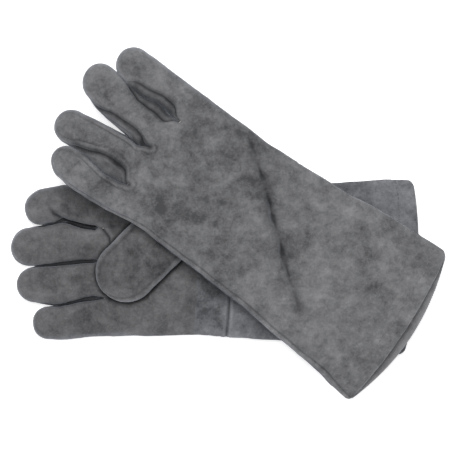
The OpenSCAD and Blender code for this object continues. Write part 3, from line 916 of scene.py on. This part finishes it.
def suede(name, colour, spread=0.6, sheen=0.45, grain=1.0):
    """Napped split leather: mottled colour and a fibrous surface, darkened by the painted shade of the seam
    attribute and shifted by the other attribute's tone, wear and painted light.
    """
    mat = bpy.data.materials.new(name)
    mat.use_nodes = True
    t = mat.node_tree
    shader = t.nodes["Principled BSDF"]
    shader.inputs["Roughness"].default_value = 0.95
    shader.inputs["Specular IOR Level"].default_value = 0.12
    shader.inputs["Sheen Weight"].default_value = sheen
    shader.inputs["Sheen Roughness"].default_value = 0.5
    shader.inputs["Sheen Tint"].default_value = (0.82, 0.88, 1.0, 1)
    coord = node(t, "ShaderNodeTexCoord")

    def tex(scale, detail, rough, distortion=0.0):
        n = node(t, "ShaderNodeTexNoise")
        n.inputs["Scale"].default_value = scale * grain
        n.inputs["Detail"].default_value = detail
        n.inputs["Roughness"].default_value = rough
        n.inputs["Distortion"].default_value = distortion
        t.links.new(coord.outputs["Object"], n.inputs["Vector"])
        return n.outputs["Fac"]

    def math_node(op, a, b, clamp=False):
        n = node(t, "ShaderNodeMath", operation=op, use_clamp=clamp)
        for k, x in enumerate((a, b)):
            if isinstance(x, (int, float)):
                n.inputs[k].default_value = x
            else:
                t.links.new(x, n.inputs[k])
        return n.outputs[0]

    large = tex(45, 4, 0.6, 0.3)
    medium = tex(150, 4, 0.65, 0.4)
    fine = tex(480, 3, 0.7)
    nap = tex(1300, 2, 0.6)
    total = math_node("ADD", math_node("MULTIPLY", large, 0.34), 0.08)
    for part, weight in ((medium, 0.25), (fine, 0.16), (nap, 0.09)):
        total = math_node("ADD", total, math_node("MULTIPLY", part, weight))
    # tone and wear from the mesh, with painted highlights and painted shade in it
    worn = node(t, "ShaderNodeAttribute", attribute_name="worn")
    total = math_node("ADD", total, math_node("MULTIPLY", worn.outputs["Fac"], 0.045))
    ramp = node(t, "ShaderNodeValToRGB")
    for k, (place, bright) in enumerate(((0.38, 1 - spread), (0.62, 1 + spread))):
        ramp.color_ramp.elements[k].position = place
        ramp.color_ramp.elements[k].color = (*[c * bright for c in colour], 1)
    t.links.new(total, ramp.inputs[0])
    # painted shade: the seam attribute multiplies the colour towards near-black in seams, gaps, creases,
    # round the thumb and under the upper glove's edge
    attr = node(t, "ShaderNodeAttribute", attribute_name="seam")
    shade = node(t, "ShaderNodeMix", data_type="RGBA", blend_type="MULTIPLY")
    t.links.new(math_node("MULTIPLY", attr.outputs["Fac"], 0.95, True), shade.inputs[0])
    t.links.new(ramp.outputs[0], shade.inputs[6])
    shade.inputs[7].default_value = (0.06, 0.06, 0.06, 1)
    t.links.new(shade.outputs[2], shader.inputs["Base Color"])
    height = math_node("MULTIPLY", medium, 0.5)
    height = math_node("ADD", height, math_node("MULTIPLY", fine, 0.6))
    height = math_node("ADD", height, math_node("MULTIPLY", nap, 0.35))
    bump = node(t, "ShaderNodeBump")
    bump.inputs["Strength"].default_value = 0.6
    bump.inputs["Distance"].default_value = 0.0013
    t.links.new(height, bump.inputs["Height"])
    t.links.new(bump.outputs[0], shader.inputs["Normal"])
    return mat


def canvas(name, colour):
    mat = bpy.data.materials.new(name)
    mat.use_nodes = True
    t = mat.node_tree
    shader = t.nodes["Principled BSDF"]
    shader.inputs["Roughness"].default_value = 0.9
    shader.inputs["Base Color"].default_value = (*colour, 1)
    coord = node(t, "ShaderNodeTexCoord")
    waves = []
    for direction in ("X", "Y"):
        w = node(t, "ShaderNodeTexWave", wave_type="BANDS", bands_direction=direction)
        w.inputs["Scale"].default_value = 260
        w.inputs["Distortion"].default_value = 0.6
        t.links.new(coord.outputs["Object"], w.inputs["Vector"])
        waves.append(w.outputs["Fac"])
    both = node(t, "ShaderNodeMath", operation="MAXIMUM")
    t.links.new(waves[0], both.inputs[0])
    t.links.new(waves[1], both.inputs[1])
    ramp = node(t, "ShaderNodeValToRGB")
    ramp.color_ramp.elements[0].color = tuple(c * 0.6 for c in colour) + (1,)
    ramp.color_ramp.elements[1].color = (*colour, 1)
    t.links.new(both.outputs[0], ramp.inputs[0])
    t.links.new(ramp.outputs[0], shader.inputs["Base Color"])
    bump = node(t, "ShaderNodeBump")
    bump.inputs["Distance"].default_value = 0.0005
    t.links.new(both.outputs[0], bump.inputs["Height"])
    t.links.new(bump.outputs[0], shader.inputs["Normal"])
    return mat


MATERIAL = {
    "suede_back": suede("suede_back", (0.145, 0.145, 0.149)),
    "suede_palm": suede("suede_palm", (0.108, 0.107, 0.110)),
    "suede_cuff": suede("suede_cuff", (0.150, 0.153, 0.162)),
    "suede_fourchette_left": suede("suede_fourchette_left", (0.128, 0.128, 0.132)),
    # painted shade: the lower glove's fourchettes are near-black, standing in for the deep shade in the gaps
    # between its fingers
    "suede_fourchette_right": suede("suede_fourchette_right", (0.048, 0.048, 0.050)),
    # painted shade: the welts are about half as light as the back leather, standing in for the thin shade
    # along the gloves' side edges
    "suede_welt": suede("suede_welt", (0.070, 0.070, 0.073)),
    "canvas_lining": canvas("canvas_lining", (0.55, 0.52, 0.45)),
    "fleece_lining": suede("fleece_lining", (0.60, 0.59, 0.55), 0.2, 0.6, 1.5),
    "thread": suede("thread", (0.17, 0.17, 0.17), 0.3, 0.1, 3.0),
}

# ------------------------------------------------------------------ build
def dress(G, g):
    """Adds the surface detail to a settled patch."""
    p = g["P"]
    if g["part"] == "thumb":
        out, g["seam"], g["worn"] = thumb_detail(G, p, g["edge"])
    else:
        # at the side edges both sides' detail must agree, so it crosses over smoothly there
        w = smooth(0.5 + p[..., 2] / 5)
        two = [detail(G, p, side, g["edge"], g["fade"], g["pit"]) for side in (PALM, BACK)]
        out, g["seam"], g["worn"] = [mix(a, b, w) for a, b in zip(*two)]
    g["W"] = g["W"] + g["N"] * out[..., None]
    if g["name"].endswith("gauntlet_front"):
        # beyond the wrist seam the palm's darker leather begins
        g["worn"] = g["worn"] - 1.0 * smooth((p[..., 0] - PALM_SEAM_U) / 1.5)


def build_leather(G):
    for part in ("skin", "thumb"):
        group = [g for g in PATCHES if g["G"] is G and g["part"] == part]
        settle(group)
        for g in group:
            dress(G, g)
        shared_normals(group)
        for g in group:
            build_mesh(g["name"], [g], g["slot"], G, g["ride"], g["replaces"])


def build_trim(G):
    """Hem, linings, threads and welts, which all follow the leather sheets."""
    n = G.name
    skin = {g["name"].removeprefix(f"{n}_"): g for g in PATCHES if g["G"] is G}
    cuffs = [skin["gauntlet_back"], skin["gauntlet_front"]]
    hands = [skin["hand_back_panel"], skin["palm_panel"]]
    across_wrist, on_hand, on_cuff = cuffs[0]["ride"], ("ride", f"{n}_hand"), ("ride", f"{n}_cuff")
    middle_u = cuffs[0]["P"][:, 40, 0]
    wrist, stitch_at = (int(np.searchsorted(middle_u, u)) for u in (WRIST_U, HEM_STITCH_U))

    def piece(name, grids, slot, way, node_name=None):
        build_mesh(f"{n}_{name}", grids, slot, G, way, (f"{n}_{node_name}",) if node_name else ())

    def lining(name, sheets, depth, way, node_name):
        piece(name, [inside(g, depth) for g in sheets], "fleece_lining", way, node_name)

    def side_welts(name, sheet, way, first=0):
        edges = (0, sheet["W"].shape[1] - 1)
        piece(f"{name}_side_welts", [ribbon(sheet, c, first) for c in edges], "suede_welt", way,
              f"{name}_welts")

    piece("hem", [hem_lip(g) for g in cuffs], "suede_back", on_cuff, "cuff_hem")
    canvas_sheets = [inside(g, CANVAS_DEPTH, CANVAS_ROW, wrist + 1) for g in cuffs]
    piece("canvas", canvas_sheets, "canvas_lining", across_wrist, "cuff_lining")
    piece("wrist_fleece", [inside(g, FLEECE_DEPTH, wrist) for g in cuffs], "fleece_lining", across_wrist)
    lining("hand_fleece", hands, FLEECE_DEPTH, on_hand, "hand_lining")
    for f in FINGER:
        around = [g for name, g in skin.items() if name.startswith(f + "_")]
        lining(f"{f}_fleece", around, FINGER_FLEECE_DEPTH, around[0]["ride"], f"{f}_lining")
    thumb = [skin["thumb_outer_leather"], skin["thumb_inner_leather"]]
    lining("thumb_fleece", thumb, THUMB_FLEECE_DEPTH, thumb[0]["ride"], "thumb_lining")
    threads = [x for g in cuffs for x in stitch_row(g, stitch_at)]
    piece("hem_thread", threads, "thread", on_cuff, "hem_stitches")
    side_welts("cuff", cuffs[0], across_wrist, WELT_ROW)
    side_welts("hand", hands[0], on_hand)
    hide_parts(f"{n}_fourchette_crotches")


for G in GLOVES:
    build_glove(G)
    build_thumb(G)
    build_leather(G)
    build_trim(G)

# ------------------------------------------------------------------ floor, light, camera
floor_mesh = bpy.data.meshes.new("floor")
floor_mesh.from_pydata([(-3, -3, 0), (3, -3, 0), (3, 3, 0), (-3, 3, 0)], [], [(0, 1, 2, 3)])
floor = bpy.data.objects.new("floor", floor_mesh)
bpy.context.scene.collection.objects.link(floor)
white = bpy.data.materials.new("floor_white")
white.use_nodes = True
floor_shader = white.node_tree.nodes["Principled BSDF"]
floor_shader.inputs["Base Color"].default_value = (0.9, 0.9, 0.9, 1)
floor_shader.inputs["Roughness"].default_value = 1.0
floor_shader.inputs["Emission Color"].default_value = (1, 1, 1, 1)
floor_shader.inputs["Emission Strength"].default_value = 0.6
floor_mesh.materials.append(white)
floor.location.z = -0.0005

world = bpy.data.worlds.new("studio")
bpy.context.scene.world = world
world.use_nodes = True
world.node_tree.nodes["Background"].inputs[0].default_value = (0.97, 0.98, 1.0, 1)
world.node_tree.nodes["Background"].inputs[1].default_value = 0.25


def area(name, place, aim, size, power):
    light = bpy.data.lights.new(name, "AREA")
    light.shape = "DISK"
    light.size = size
    light.energy = power
    obj = bpy.data.objects.new(name, light)
    obj.location = place
    obj.rotation_mode = "QUATERNION"
    obj.rotation_quaternion = (Vector(aim) - Vector(place)).to_track_quat("-Z", "Y")
    bpy.context.scene.collection.objects.link(obj)


area("key", (-0.05, 0.55, 1.9), (0, 0, 0), 0.9, 27)
area("fill_right", (1.5, -0.5, 1.3), (0, 0, 0), 1.0, 9)
area("fill_left", (-1.3, -0.6, 1.4), (0, 0, 0), 1.0, 8)

camera_data = bpy.data.cameras.new("camera")
camera_data.lens = 203.4
camera_data.sensor_width = 36
camera = bpy.data.objects.new("camera", camera_data)
camera.location = (-0.0020, -0.0017, 2.27)
camera.rotation_euler = (0, 0, 0)
bpy.context.scene.collection.objects.link(camera)
bpy.context.scene.camera = camera
bpy.context.scene.view_settings.view_transform = "Standard"
